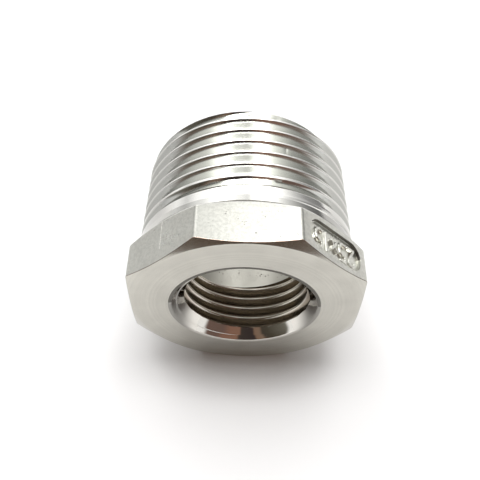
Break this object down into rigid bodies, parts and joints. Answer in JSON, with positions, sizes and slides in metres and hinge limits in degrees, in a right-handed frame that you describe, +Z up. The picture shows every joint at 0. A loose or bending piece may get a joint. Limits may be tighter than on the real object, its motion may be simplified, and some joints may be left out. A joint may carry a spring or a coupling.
{
  "type": "reducing pipe bushing",
  "caption": "Octagon-head reducing pipe bushing with a tapered outside thread, a smaller inside thread through its head and a cored hollow behind it.",
  "frame": {"origin": "on the axis, in the plane of the head's front face", "axes": "+Y along the axis from the head to the threaded end, +Z up from the flat that it lies on, +X to the right of someone facing the head"},
  "size_m": [0.0344, 0.0255, 0.0344],
  "materials": {
    "stainless": "cast stainless steel, with turned faces and threads and tumbled flats"
  },
  "bodies": {
    "root": {"bushing": "stainless"}
  },
  "joints": []
}
